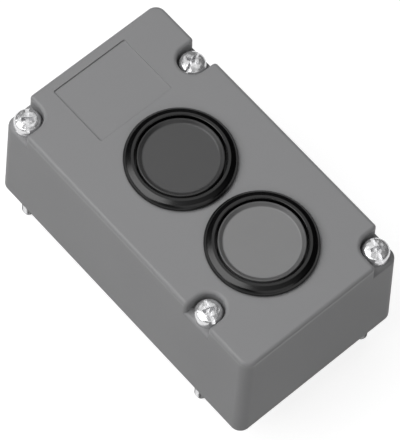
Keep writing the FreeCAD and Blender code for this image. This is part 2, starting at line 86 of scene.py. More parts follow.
def colour(name, default, description):
    """A linear colour."""
    return FloatVectorProperty(
        name=name, description=description, default=default, subtype="COLOR", min=0, max=1
    )


def amount(name, default, description):
    """A plain number."""
    return FloatProperty(name=name, description=description, default=default)


def direction(name, default):
    """Where a lamp stands, seen from the module."""
    return FloatVectorProperty(
        name=name, description="From the module towards the softbox", default=default
    )


# Sizes and colours


class ScrewSizes(bpy.types.PropertyGroup):
    head_radius: length("Head radius", 3.0, "Radius of the head")
    head_height: length("Head height", 3.1, "From the seat to the crown")
    crown: length("Crown", 0.5, "Rise of the head's crown")
    head_rounding: length("Rounding", 0.9, "Rounding of the head's edge")
    dome_steps: IntProperty(
        name="Dome steps", description="Steps up the head's edge, and up its dome", default=6, min=2
    )
    slot_width: length("Slot width", 0.8, "Width of the slot")
    slot_depth: length("Slot depth", 1.1, "Depth of the slot below the crown")
    cross_reach: length("Cross reach", 3.4, "Size across the cross recess")
    cross_width: length("Cross width", 0.95, "Width of a wing of the recess")
    cross_depth: length("Cross depth", 1.5, "Depth of the recess below the crown")
    wing_taper: amount("Wing taper", 0.5, "A wing's length at its floor, as a share of its mouth")
    wing_narrowing: amount("Wing narrowing", 0.75, "Its width at its floor, as a share of its mouth")
    shank_radius: length("Shank radius", 1.5, "Radius of the shank and of the thread")
    neck_radius: length("Neck radius", 1.2, "Radius of the neck that the washer slides on")
    neck_low: length("Neck low", 10.7, "Height of the shoulder that carries the washer")
    collar_length: length("Collar length", 4.0, "Full shank under the head")
    relief_radius: length("Relief radius", 1.15, "Radius of the groove above the thread")
    relief_length: length("Relief length", 1.3, "Length of that groove")
    thread_start: length("Thread start", -0.3, "Height of the thread's upper end")
    thread_pitch: length("Thread pitch", 0.5, "Rise of the thread in one turn")
    thread_depth: length("Thread depth", 0.29, "From the crest to the root")
    thread_flat: length("Thread flat", 0.07, "Width of the crest")
    core_clearance: length("Core clearance", 0.02, "From the thread's root down to the core")
    point: length("Point", 0.5, "Height of the chamfered end")
    steps: IntProperty(name="Steps", description="Steps round the screw", default=48, min=12)
    turns: FloatVectorProperty(
        name="Turns",
        description="How far round each head stands",
        size=4,
        default=tuple(math.radians(turn) for turn in (52, 20, 69, 69)),
    )


class SpringSizes(bpy.types.PropertyGroup):
    return_wire: length("Return wire", 0.25, "Radius of the return spring's wire")
    return_turns: amount("Return turns", 2.6, "Working turns of the return spring")
    contact_wire: length("Contact wire", 0.15, "Radius of the contact spring's wire")
    contact_turns: amount("Contact turns", 2.0, "Working turns of the contact spring")
    steps: IntProperty(name="Steps", description="Steps in a turn", default=40, min=12)
    wire_steps: IntProperty(name="Wire steps", description="Steps round the wire", default=10, min=6)


class Colours(bpy.types.PropertyGroup):
    housing: colour("Housing", (0.279, 0.279, 0.284), "Moulded housing")
    base: colour("Base", (0.19, 0.19, 0.193), "Base plate")
    collar: colour("Collar", (0.0012, 0.0012, 0.0014), "Polished collar")
    upper_cap: colour("Upper cap", (0.067, 0.067, 0.068), "Cap of the upper button")
    lower_cap: colour("Lower cap", (0.24, 0.24, 0.242), "Cap of the lower button")
    plating: colour("Plating", (0.8, 0.8, 0.81), "Bright plated steel")
    spring_steel: colour("Spring steel", (0.55, 0.55, 0.56), "Springs")
    brass: colour("Brass", (0.78, 0.6, 0.3), "Contacts")
    tin: colour("Tin", (0.66, 0.66, 0.65), "Tinned leads")
    aluminium: colour("Aluminium", (0.7, 0.71, 0.72), "Capacitor cans")
    rubber: colour("Rubber", (0.018, 0.018, 0.018), "Seals")
    nylon: colour("Nylon", (0.02, 0.02, 0.021), "Black inner mouldings")
    resin: colour("Resin", (0.014, 0.014, 0.015), "Bodies of the chip and the diodes")
    washer: colour("Washer", (0.7, 0.68, 0.6), "Natural nylon")
    opal: colour("Opal", (0.75, 0.75, 0.73), "Diffusers and tappets")
    lens: colour("Lens", (0.8, 0.82, 0.82), "Lamps")
    board: colour("Board", (0.014, 0.12, 0.045), "Solder resist")
    board_track: colour("Tracks", (0.03, 0.2, 0.08), "Resist over the copper")


class Studio(bpy.types.PropertyGroup):
    camera_place: FloatVectorProperty(
        name="Camera",
        description="Camera position",
        default=(-0.238071, -0.23467, 0.683096),
        unit="LENGTH",
    )
    camera_aim: FloatVectorProperty(
        name="Aim",
        description="Where the camera looks",
        default=(-0.006242, -0.006851, 0.031594),
        unit="LENGTH",
    )
    camera_roll: FloatProperty(
        name="Roll",
        description="Turn of the camera about its view",
        default=math.radians(4.821),
        subtype="ANGLE",
    )
    focal_length: amount("Focal length", 282.7, "In millimetres")
    horizon: amount("Horizon", 0.015, "Radiance of the room near the horizon")
    gloom: amount("Gloom", 0.82, "Height in the room up to which it stays dark, as a share")
    canopy: amount("Canopy", 0.98, "Height in the room from which it is as bright as overhead")
    zenith: amount("Zenith", 0.36, "Radiance of the room overhead")
    backdrop: amount("Backdrop", 0.2, "Height in the room up to which a white backdrop is seen")
    backdrop_fade: amount("Backdrop fade", 0.1, "Height over which the backdrop then fades out")
    distance: amount("Distance", 0.75, "From the module to the softboxes, in metres")
    key: amount("Key", 3.2, "Radiance of the key softbox")
    key_size: amount("Key size", 0.68, "Side of the key softbox, in metres")
    key_direction: direction("Key direction", (-0.5, 0.28, 0.82))
    fill: amount("Fill", 0.82, "Radiance of the fill softbox")
    fill_size: amount("Fill size", 0.6, "Side of the fill softbox, in metres")
    fill_direction: direction("Fill direction", (-0.2, -0.72, 0.66))
    top: amount("Top", 0.88, "Radiance of the softbox overhead")
    top_size: amount("Top size", 0.48, "Side of the softbox overhead, in metres")
    top_direction: direction("Top direction", (0.32, 0.37, 0.87))
    floor_reach: amount("Floor reach", 6.0, "Half the floor's side, in metres")
    floor_white: amount("Floor", 0.36, "Floor reflectance")
    floor_lift: amount("Floor lift", 0.84, "Light added to the floor where it is seen directly")


# Node graphs


class Wire:
    """A socket of a node graph; arithmetic on it adds Math nodes."""

    def __init__(self, graph, socket):
        self.graph = graph
        self.socket = socket

    def __add__(self, other):
        return self.graph.maths("ADD", self, other)

    __radd__ = __add__

    def __sub__(self, other):
        return self.graph.maths("SUBTRACT", self, other)

    def __rsub__(self, other):
        return self.graph.maths("SUBTRACT", other, self)

    def __mul__(self, other):
        return self.graph.maths("MULTIPLY", self, other)

    __rmul__ = __mul__

    def __gt__(self, other):
        return self.graph.maths("GREATER_THAN", self, other)

    def __lt__(self, other):
        return self.graph.maths("LESS_THAN", self, other)

    def __abs__(self):
        return self.graph.maths("ABSOLUTE", self)


class Graph:
    """The nodes of one material, world or lamp."""

    def __init__(self, tree):
        self.tree = tree
        tree.nodes.clear()

    def add(self, kind, settings=None, sockets=None, output=0):
        """Adds a node with these settings and sockets, and returns one of its outputs."""
        node = self.tree.nodes.new(kind)
        for name, value in (settings or {}).items():
            setattr(node, name, value)
        for name, value in (sockets or {}).items():
            if isinstance(value, Wire):
                self.tree.links.new(value.socket, node.inputs[name])
            else:
                node.inputs[name].default_value = value
        return Wire(self, node.outputs[output] if node.outputs else None)

    def maths(self, operation, *values):
        return self.add("ShaderNodeMath", {"operation": operation}, dict(enumerate(values)))

    def noise(self, place, size, detail=2.0, roughness=0.5):
        """Values round 0.5 with features of this size in metres."""
        sockets = {"Vector": place, "Scale": 1 / size, "Detail": detail, "Roughness": roughness}
        return self.add("ShaderNodeTexNoise", None, sockets)

    def mixed(self, factor, first, second):
        return self.add("ShaderNodeMix", {"data_type": "RGBA"}, {0: factor, 6: first, 7: second}, 2)

    def axis(self, place, index):
        return self.add("ShaderNodeSeparateXYZ", None, {0: place}, index)

    def ramp(self, value, low, high, start=0.0, end=1.0):
        """Goes smoothly from start to end while the value goes from low to high."""
        sockets = {"Value": value, 1: low, 2: high, 3: start, 4: end}
        return self.add("ShaderNodeMapRange", {"interpolation_type": "SMOOTHSTEP"}, sockets)

    def bump(self, height, depth, rounding=0.0):
        """Raises the surface by the height times the depth, and shades its edges as rounded."""
        sockets = {"Height": height, "Distance": depth, "Strength": 1.0}
        if rounding:
            sockets["Normal"] = self.add("ShaderNodeBevel", {"samples": 6}, {"Radius": rounding})
        return self.add("ShaderNodeBump", None, sockets)


def swing(noise, share):
    """How far the noise is from its middle, times this share."""
    return (noise - 0.5) * share


def shade(tone, factor):
    """A colour made lighter or darker, with its alpha."""
    return tuple(min(1, part * factor) for part in tone) + (1,)


def new_finish(name):
    """A material, its graph, and the place that its patterns follow."""
    material = bpy.data.materials.new(name)
    material.use_nodes = True
    graph = Graph(material.node_tree)
    place = graph.add("ShaderNodeTexCoord", None, None, "Object")
    return material, graph, place


def close_finish(graph, sockets):
    """Ends a material's graph in a surface with these sockets."""
    surface = graph.add("ShaderNodeBsdfPrincipled", None, sockets)
    graph.add("ShaderNodeOutputMaterial", None, {"Surface": surface})


# Finishes


def moulded(
    name,
    tone,
    roughness,
    grain_size,
    grain_depth,
    spread=0.03,
    rounding=0.0,
    gloss=0.5,
    polished_from=None,
):
    """Moulded plastic or rubber with a fine grain, slight mottling and softened edges.

    From the height polished_from up it is smoother, and the millimetre below leads over to that.
    """
    cloud_size = 18 * MM
    speck_size = 2.5 * grain_size
    cloud_share = 0.6
    polish = 0.19
    material, graph, place = new_finish(name)
    cloud = graph.noise(place, cloud_size, detail=3)
    speck = graph.noise(place, speck_size, detail=2)
    mottle = cloud * cloud_share + speck * (1 - cloud_share)
    mix = graph.mixed(mottle, shade(tone, 1 - spread), shade(tone, 1 + spread))
    grain = graph.noise(place, grain_size, detail=3, roughness=0.6)
    matt = roughness + swing(cloud, 0.12) + swing(grain, 0.1)
    if polished_from is not None:
        height = graph.axis(place, 2)
        matt = matt - graph.ramp(height, polished_from - MM, polished_from, end=polish)
    sockets = {
        "Base Color": mix,
        "Roughness": matt,
        "Specular IOR Level": gloss,
        "Normal": graph.bump(grain, grain_depth, rounding),
    }
    close_finish(graph, sockets)
    return material


def clear_cap(name, tone, roughness, rounding, face):
    """A cap of tinted plastic, with painted shade that darkens its rim above the dish's face."""
    rim_shade_fade = 0.12 * MM
    rim_shade_tone = 0.45
    cloud_size = 6 * MM
    mark_size = 0.6 * MM
    mark_depth = 0.0015 * MM
    spread = 0.035
    material, graph, place = new_finish(name)
    cloud = graph.noise(place, cloud_size, detail=4, roughness=0.6)
    lit = graph.mixed(cloud, shade(tone, 1 - spread), shade(tone, 1 + spread))
    # Painted shade: the cap's colour is darkened from the dish's face up over its rim.
    rim_shade = graph.ramp(graph.axis(place, 2), face, face + rim_shade_fade)
    marks = graph.noise(place, mark_size, detail=2)
    sockets = {
        "Base Color": graph.mixed(rim_shade, lit, shade(tone, rim_shade_tone)),
        "Roughness": roughness + swing(marks, 0.06),
        "Coat Weight": 0.05,
        "Coat Roughness": 0.25,
        "Normal": graph.bump(marks, mark_depth, rounding),
    }
    close_finish(graph, sockets)
    return material


def plated(name, tone, roughness, mark_size, mark_depth, haze=0.0, shank_top=None):
    """Bright metal with fine marks, faint stains and a share of haze that scatters light.

    Below shank_top it has no marks and no haze, and painted shade darkens it over the threaded shank.
    """
    stain_size = 1.5 * MM
    stained_tone = 0.86
    clean_tone = 1.05
    shank_shade_tone = 0.35
    material, graph, place = new_finish(name)
    stain = graph.noise(place, stain_size, detail=3)
    marks = graph.noise(place, mark_size, detail=1)
    bright = graph.mixed(stain, shade(tone, stained_tone), shade(tone, clean_tone))
    if shank_top is not None:
        head = graph.axis(place, 2) > shank_top
        marks = marks * head
        haze = haze * head
        # Painted shade: below the head the plating colour is darkened.
        bright = graph.mixed(head, shade(tone, shank_shade_tone), bright)
    sockets = {
        "Base Color": bright,
        "Metallic": 1 - haze,
        "Roughness": roughness + swing(stain, 0.14),
        "Normal": graph.bump(marks, mark_depth),
    }
    close_finish(graph, sockets)
    return material


def mounted(name, body, lead, roughness, is_lead):
    """An electronic part: a moulded body, and leads where the test on its place says so."""
    cloud_size = 1.2 * MM
    grain_size = 0.12 * MM
    grain_depth = 0.004 * MM
    dull_tone = 0.85
    bright_body = 1.15
    bright_lead = 1.05
    lead_polish = 0.15
    material, graph, place = new_finish(name)
    metal = is_lead(graph, place)
    cloud = graph.noise(place, cloud_size, detail=3)
    grain = graph.noise(place, grain_size, detail=2)
    body_tone = graph.mixed(cloud, shade(body, dull_tone), shade(body, bright_body))
    lead_tone = graph.mixed(cloud, shade(lead, dull_tone), shade(lead, bright_lead))
    sockets = {
        "Base Color": graph.mixed(metal, body_tone, lead_tone),
        "Metallic": metal,
        "Roughness": roughness + swing(cloud, 0.15) - metal * lead_polish,
        "Normal": graph.bump(grain, grain_depth),
    }
    close_finish(graph, sockets)
    return material


def printed_board(name, resist, track, tin, pads):
    """Green resist over copper tracks, with a tinned pad round each place in pads."""
    tracks_per_metre = 420.0
    track_edge = 0.42
    track_strength = 0.8
    weave_size = 0.8 * MM
    weave_strength = 0.3
    weave_tone = 0.6
    resist_depth = 0.01 * MM
    material, graph, place = new_finish(name)
    flat = graph.add("ShaderNodeVectorMath", {"operation": "MULTIPLY"}, {0: place, 1: (1, 1, 0)})
    cells = graph.add(
        "ShaderNodeTexVoronoi",
        {"distance": "CHEBYCHEV", "feature": "F1"},
        {"Vector": flat, "Scale": tracks_per_metre, "Randomness": 0.85},
    )
    bare = 0
    for x, y, radius in pads:
        sockets = {0: flat, 1: (x, y, 0)}
        away = graph.add("ShaderNodeVectorMath", {"operation": "DISTANCE"}, sockets, "Value")
        bare = (away < radius) + bare
    copper = (cells > track_edge) * track_strength
    weave = graph.noise(place, weave_size, detail=2)
    green = graph.mixed(copper, shade(resist, 1), shade(track, 1))
    green = graph.mixed(weave * weave_strength, green, shade(resist, weave_tone))
    metal = graph.maths("MINIMUM", bare, 1.0)
    sockets = {
        "Base Color": graph.mixed(metal, green, shade(tin, 1)),
        "Metallic": metal * 0.9,
        "Roughness": 0.32 + swing(weave, 0.15),
        "Normal": graph.bump(copper + metal, resist_depth),
    }
    close_finish(graph, sockets)
    return material


# Shapes


def new_piece(name, mesh, body, slot, material, *nodes):
    """An object for a finished mesh, which stands for these nodes and rides on their body."""
    sharp_angle = math.radians(32)
    mesh.materials.clear()
    mesh.materials.append(material)
    mesh.shade_smooth()
    mesh.set_sharp_from_angle(angle=sharp_angle)
    piece = bpy.data.objects.new(name, mesh)
    bpy.context.scene.collection.objects.link(piece)
    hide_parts(*nodes)
    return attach(piece, body) if body else piece


def mesh_from(bm, name):
    """A mesh with its doubled corners merged and its faces turned outward."""
    bmesh.ops.remove_doubles(bm, verts=bm.verts, dist=MERGE_DISTANCE)
    bmesh.ops.recalc_face_normals(bm, faces=bm.faces)
    mesh = bpy.data.meshes.new(name)
    bm.to_mesh(mesh)
    bm.free()
    return mesh


def spun(bm, outline, steps):
    """Turns an outline of (radius, height) points from axis to axis about the z axis."""
    points = [bm.verts.new((radius, 0, height)) for radius, height in outline]
    lines = [bm.edges.new(pair) for pair in zip(points, points[1:])]
    bmesh.ops.spin(
        bm,
        geom=points + lines,
        cent=(0, 0, 0),
        axis=(0, 0, 1),
        dvec=(0, 0, 0),
        angle=math.tau,
        steps=steps,
        use_merge=True,
    )


def wound(bm, points, lines, turns, rise, steps):
    """Winds a section round the z axis as it rises, and returns the points and lines at its end."""
    count = max(1, round(turns * steps))
    made = bmesh.ops.spin(
        bm,
        geom=points + lines,
        cent=(0, 0, 0),
        axis=(0, 0, 1),
        dvec=(0, 0, rise / count),
        angle=math.tau * turns,
        steps=count,
        use_merge=False,
    )
    end = made["geom_last"]
    end_points = [item for item in end if isinstance(item, bmesh.types.BMVert)]
    end_lines = [item for item in end if isinstance(item, bmesh.types.BMEdge)]
    return end_points, end_lines


def thread(sizes, low):
    """The helical thread, from one pitch of its section, cut level at both ends and closed."""
    bm = bmesh.new()
    pitch = sizes.thread_pitch
    crest = sizes.shank_radius
    root = crest - sizes.thread_depth
    flat = sizes.thread_flat / 2
    flank = pitch / 2 - 2 * flat
    outline = [
        (root, 0),
        (root, pitch / 2 - flat - flank),
        (crest, pitch / 2 - flat),
        (crest, pitch / 2 + flat),
        (root, pitch / 2 + flat + flank),
        (root, pitch),
    ]
    points = [bm.verts.new((r, 0, low - pitch + z)) for r, z in outline]
    lines = [bm.edges.new(pair) for pair in zip(points, points[1:])]
    turns = (sizes.thread_start - low) / pitch + 2
    wound(bm, points, lines, turns, turns * pitch, sizes.steps // 2)
    bmesh.ops.remove_doubles(bm, verts=bm.verts, dist=MERGE_DISTANCE)
    for height, side in ((sizes.thread_start, 1), (low, -1)):
        bmesh.ops.bisect_plane(
            bm,
            geom=bm.verts[:] + bm.edges[:] + bm.faces[:],
            plane_co=(0, 0, height),
            plane_no=(0, 0, side),
            clear_outer=True,
        )
    bmesh.ops.holes_fill(bm, edges=[edge for edge in bm.edges if edge.is_boundary])
    return mesh_from(bm, "thread")


def rounded_dome(radius, high, crown, rounding, steps):
    """A head's outline from its side over the rounded rim, which runs into the dome, to the crown."""
    dome = (radius ** 2 + crown ** 2) / (2 * crown)
    middle = high - dome
    rim_rise = math.sqrt((dome - rounding) ** 2 - (radius - rounding) ** 2)
    lean = math.atan2(rim_rise, radius - rounding)
    outline = []
    for step in range(steps + 1):
        turn = lean * step / steps
        across = radius - rounding + rounding * math.cos(turn)
        outline.append((across, middle + rim_rise + rounding * math.sin(turn)))
    for step in range(1, steps + 1):
        turn = lean + (math.pi / 2 - lean) * step / steps
        outline.append((dome * math.cos(turn), middle + dome * math.sin(turn)))
    return outline


def screw_body(sizes, low, high):
    """Shank, neck and domed head in one turned shape, from the point up to the crown."""
    seat = high - sizes.head_height
    core = sizes.shank_radius - sizes.thread_depth - sizes.core_clearance
    relief_top = sizes.thread_start + sizes.relief_length
    collar_low = seat - sizes.collar_length
    outline = [
        (0, low),
        (core - sizes.point / 2, low),
        (core, low + sizes.point / 2),
        (core, sizes.thread_start - sizes.thread_pitch / 2),
        (sizes.relief_radius, sizes.thread_start),
        (sizes.relief_radius, relief_top),
        (sizes.shank_radius, relief_top),
        (sizes.shank_radius, sizes.neck_low),
        (sizes.neck_radius, sizes.neck_low),
        (sizes.neck_radius, collar_low),
        (sizes.shank_radius, collar_low),
        (sizes.shank_radius, seat),
        (sizes.head_radius, seat),
    ]
    outline += rounded_dome(
        sizes.head_radius, high, sizes.crown, sizes.head_rounding, sizes.dome_steps
    )
    bm = bmesh.new()
    spun(bm, outline, sizes.steps)
    return mesh_from(bm, "screw_body")


def recess(sizes, high):
    """The shapes that are cut out of a head: a slot across it and two tapered wings of a cross."""
    overshoot = MM
    bm = bmesh.new()
    across = 2 * sizes.head_radius + overshoot
    slot_low = high - sizes.slot_depth
    slot_size = (across, sizes.slot_width, sizes.slot_depth + overshoot)
    slot = bmesh.ops.create_cube(bm, size=1)["verts"]
    bmesh.ops.scale(bm, verts=slot, vec=slot_size)
    bmesh.ops.translate(bm, verts=slot, vec=(0, 0, slot_low + slot_size[2] / 2))
    cutters = [mesh_from(bm, "slot")]
    for quarter in (0, 1):
        bm = bmesh.new()
        wing = bmesh.ops.create_cube(bm, size=1)["verts"]
        wing_size = (sizes.cross_reach, sizes.cross_width, sizes.cross_depth + overshoot)
        bmesh.ops.scale(bm, verts=wing, vec=wing_size)
        floor = [corner for corner in wing if corner.co.z < 0]
        bmesh.ops.scale(bm, verts=floor, vec=(sizes.wing_taper, sizes.wing_narrowing, 1))
        bmesh.ops.translate(bm, verts=wing, vec=(0, 0, high - sizes.cross_depth + wing_size[2] / 2))
        turn = Matrix.Rotation(quarter * math.pi / 2, 3, "Z")
        bmesh.ops.rotate(bm, verts=wing, cent=(0, 0, 0), matrix=turn)
        cutters.append(mesh_from(bm, "wing"))
    return cutters


def carved(mesh, cutters):
    """The mesh with each cutter taken out of it."""
    link = bpy.context.scene.collection.objects.link
    whole = bpy.data.objects.new("carved", mesh)
    link(whole)
    tools = []
    for cutter in cutters:
        tool = bpy.data.objects.new("cutter", cutter)
        link(tool)
        tools.append(tool)
        cut = whole.modifiers.new("cut", "BOOLEAN")
        cut.operation = "DIFFERENCE"
        cut.solver = "EXACT"
        cut.object = tool
    bpy.context.view_layer.update()
    graph = bpy.context.evaluated_depsgraph_get()
    result = bpy.data.meshes.new_from_object(whole.evaluated_get(graph))
    for item in [whole] + tools:
        bpy.data.objects.remove(item)
    if not result.polygons:
        raise RuntimeError("the recess could not be cut out of the head")
    return result


def joined(name, *meshes):
    """One mesh that holds all of these."""
    bm = bmesh.new()
    for mesh in meshes:
        bm.from_mesh(mesh)
    whole = bpy.data.meshes.new(name)
    bm.to_mesh(whole)
    bm.free()
    return whole


def coil(name, wire, turns, low, high, radius, middle, sizes):
    """A compression spring of round wire, with a closed turn at each end."""
    bm = bmesh.new()
    ring = bmesh.ops.create_circle(bm, cap_ends=False, radius=wire, segments=sizes.wire_steps)["verts"]
    upright = Matrix.Rotation(math.pi / 2, 3, "X")
    bmesh.ops.rotate(bm, verts=ring, cent=(0, 0, 0), matrix=upright)
    bmesh.ops.translate(bm, verts=ring, vec=(radius, 0, low + wire))
    points = ring
    lines = bm.edges[:]
    closed = 2 * wire
    working = high - low - 2 * wire - 2 * closed
    for count, rise in ((1, closed), (turns, working), (1, closed)):
        points, lines = wound(bm, points, lines, count, rise, sizes.steps)
    bmesh.ops.holes_fill(bm, edges=[edge for edge in bm.edges if edge.is_boundary])
    bmesh.ops.translate(bm, verts=bm.verts, vec=(middle.x, middle.y, 0))
    return mesh_from(bm, name)


def middle_of(node):
    """The middle of a node's box."""
    low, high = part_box(node)
    return (low + high) / 2


# Operators


def dress(material, *nodes):
    """Gives the nodes' own meshes this material."""
    for node in nodes:
        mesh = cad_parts[node].data
        mesh.materials.clear()
        mesh.materials.append(material)


def both(name):
    """The node of this name at each button."""
    return [f"{button}_{name}" for button in BUTTONS]


class MODULE_OT_housing(bpy.types.Operator):
    """Finish the moulded housing and its base plate"""

    bl_idname = "control_module.housing"
    bl_label = "Housing"

    def execute(self, context):
        colours = context.scene.module_colours
        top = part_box("housing")[1].z
        grey = moulded(
            "housing_plastic",
            colours.housing,
            roughness=0.55,
            grain_size=0.2 * MM,
            grain_depth=0.01 * MM,
            rounding=0.22 * MM,
            gloss=0.32,
            polished_from=top - MM,
        )
        dress(grey, "housing")
        base = moulded(
            "base_plastic",
            colours.base,
            roughness=0.5,
            grain_size=0.3 * MM,
            grain_depth=0.01 * MM,
            rounding=0.2 * MM,
            gloss=0.32,
        )
        dress(base, "base_plate")
        return {"FINISHED"}


class MODULE_OT_buttons(bpy.types.Operator):
    """Finish the collars, caps, plungers and switch blocks"""

    bl_idname = "control_module.buttons"
    bl_label = "Buttons"

    def execute(self, context):
        colours = context.scene.module_colours
        black = moulded(
            "polished_black",
            colours.collar,
            roughness=0.21,
            grain_size=0.4 * MM,
            grain_depth=0.0006 * MM,
            spread=0.2,
        )
        dress(black, *both("collar"))
        dish_depth = 0.6 * MM
        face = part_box("upper_cap")[1].z - dish_depth
        caps = (
            ("upper_cap", "dark_cap", colours.upper_cap),
            ("lower_cap", "light_cap", colours.lower_cap),
        )
        for node, name, tone in caps:
            dress(clear_cap(name, tone, roughness=0.42, rounding=0.3 * MM, face=face), node)
        nylon = moulded(
            "black_nylon",
            colours.nylon,
            roughness=0.45,
            grain_size=0.3 * MM,
            grain_depth=0.004 * MM,
            spread=0.1,
        )
        dress(nylon, *both("plunger"), *both("ring_nut"), *both("contact_block"), "contact_carrier")
        opal = moulded(
            "opal_plastic",
            colours.opal,
            roughness=0.4,
            grain_size=0.4 * MM,
            grain_depth=0.002 * MM,
            spread=0.02,
        )
        dress(opal, *both("diffuser"), *both("tappet"))
        return {"FINISHED"}


class MODULE_OT_seals(bpy.types.Operator):
    """Finish the rubber seals and rings"""

    bl_idname = "control_module.seals"
    bl_label = "Seals"

    def execute(self, context):
        rubber = moulded(
            "black_rubber",
            context.scene.module_colours.rubber,
            roughness=0.7,
            grain_size=0.2 * MM,
            grain_depth=0.01 * MM,
            spread=0.15,
        )
        dress(rubber, "housing_seal", "face_seal", *both("collar_gasket"), *both("plunger_ring"))
        return {"FINISHED"}


class MODULE_OT_screws(bpy.types.Operator):
    """Model the four captive fixing screws, and finish their washers"""

    bl_idname = "control_module.screws"
    bl_label = "Screws"

    def execute(self, context):
        sizes = context.scene.module_screws
        colours = context.scene.module_colours
        low, high = (corner.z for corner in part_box("fixing_screw_1"))
        head = carved(screw_body(sizes, low, high), recess(sizes, high))
        whole = joined("fixing_screw", head, thread(sizes, low + sizes.point))
        steel = plated(
            "bright_plating",
            colours.plating,
            roughness=0.24,
            mark_size=1.4 * MM,
            mark_depth=0.2 * MM,
            haze=0.25,
            shank_top=high - sizes.head_height,
        )
        for number in SCREWS:
            node = f"fixing_screw_{number}"
            mesh = whole.copy()
            place = middle_of(node)
            turn = Matrix.Rotation(sizes.turns[number - 1], 4, "Z")
            mesh.transform(Matrix.Translation((place.x, place.y, 0)) @ turn)
            new_piece(f"screw_{number}", mesh, f"screw_{number}", "plated_steel", steel, node)
        nylon = moulded(
            "natural_nylon",
            colours.washer,
            roughness=0.4,
            grain_size=0.3 * MM,
            grain_depth=0.003 * MM,
        )
        dress(nylon, *(f"retaining_washer_{number}" for number in SCREWS))
        return {"FINISHED"}


class MODULE_OT_springs(bpy.types.Operator):
    """Wind the return springs and the contact springs from round wire"""

    bl_idname = "control_module.springs"
    bl_label = "Springs"

    def execute(self, context):
        sizes = context.scene.module_springs
        tone = context.scene.module_colours.spring_steel
        steel = plated(
            "spring_wire", tone, roughness=0.24, mark_size=0.1 * MM, mark_depth=0.001 * MM
        )
        kinds = (
            ("return_spring", sizes.return_wire, sizes.return_turns, "button"),
            ("contact_spring", sizes.contact_wire, sizes.contact_turns, "contact"),
        )
        for kind, wire, turns, body in kinds:
            for button in BUTTONS:
                node = f"{button}_{kind}"
                low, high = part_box(node)
                middle = middle_of(node)
                radius = (high.x - low.x) / 2 - wire
                mesh = coil(node, wire, turns, low.z, high.z, radius, middle, sizes)
                piece = new_piece(f"{node}_wire", mesh, None, "spring_steel", steel, node)
                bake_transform(piece)
        return {"FINISHED"}


class MODULE_OT_electronics(bpy.types.Operator):
    """Finish the circuit board, what stands on it and the contacts"""

    bl_idname = "control_module.electronics"
    bl_label = "Electronics"

    def execute(self, context):
        colours = context.scene.module_colours
        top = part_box("circuit_board")[1].z
        resist, track, tin = colours.board, colours.board_track, colours.tin
        dress(printed_board("board_resist", resist, track, tin, self.pads()), "circuit_board")
        chip = middle_of("bus_chip")
        chip_leg_length = 1.3 * MM
        chip_body_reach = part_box("bus_chip")[1].y - chip.y - chip_leg_length
        diode_reach = 2.15 * MM
        diode_body_reach = 1.5 * MM
        diode_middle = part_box("surge_diodes")[1].x - diode_reach
        can_foot = 0.6 * MM

        def on_chip_legs(graph, place):
            return abs(graph.axis(place, 1) - chip.y) > chip_body_reach

        def on_diode_ends(graph, place):
            return abs(abs(graph.axis(place, 0)) - diode_middle) > diode_body_reach

        def on_can(graph, place):
            return graph.axis(place, 2) > top + can_foot

        def on_lamp_leads(graph, place):
            return graph.axis(place, 2) < top

        dress(mounted("chip_resin", colours.resin, tin, 0.5, on_chip_legs), "bus_chip")
        dress(mounted("diode_resin", colours.resin, tin, 0.5, on_diode_ends), "surge_diodes")
        aluminium = colours.aluminium
        dress(mounted("capacitor_can", colours.resin, aluminium, 0.42, on_can), "capacitors")
        dress(mounted("lamp_lens", colours.lens, tin, 0.2, on_lamp_leads), *both("led"))
        steel = plated(
            "board_screw_plating",
            colours.plating,
            roughness=0.2,
            mark_size=0.15 * MM,
            mark_depth=0.001 * MM,
        )
        dress(steel, "board_screws")
        brass = plated(
            "contact_brass",
            colours.brass,
            roughness=0.22,
            mark_size=0.2 * MM,
            mark_depth=0.002 * MM,
        )
        dress(brass, "bus_pins", *both("fixed_contacts"), *both("contact_bridge"))
        return {"FINISHED"}

    def pads(self):
        """Where something is soldered or screwed through the board, with the pad's radius."""
        pin_count = 4
        pin_pad = 1.2 * MM
        lead_offset = 1.27 * MM
        lead_pad = 0.75 * MM
        leg_inset = 0.75 * MM
        leg_pad = 0.9 * MM
        screw_head_radius = 1.9 * MM
        screw_pad = 2.3 * MM
        inner_screw_y = 12 * MM
        places = []
        low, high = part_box("bus_pins")
        radius = (high.y - low.y) / 2
        pitch = (high.x - low.x - 2 * radius) / (pin_count - 1)
        for pin in range(pin_count):
            places.append((low.x + radius + pin * pitch, low.y + radius, pin_pad))
        for button in BUTTONS:
            lamp = middle_of(f"{button}_led")
            leg_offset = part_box(f"{button}_fixed_contacts")[1].x - leg_inset
            for side in (-1, 1):
                places.append((side * lead_offset, lamp.y, lead_pad))
                places.append((side * leg_offset, lamp.y, leg_pad))
        screw_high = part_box("board_screws")[1]
        x = screw_high.x - screw_head_radius
        y = screw_high.y - screw_head_radius
        for place in ((x, y), (-x, -y), (-x, inner_screw_y), (x, -inner_screw_y)):
            places.append((*place, screw_pad))
        return places


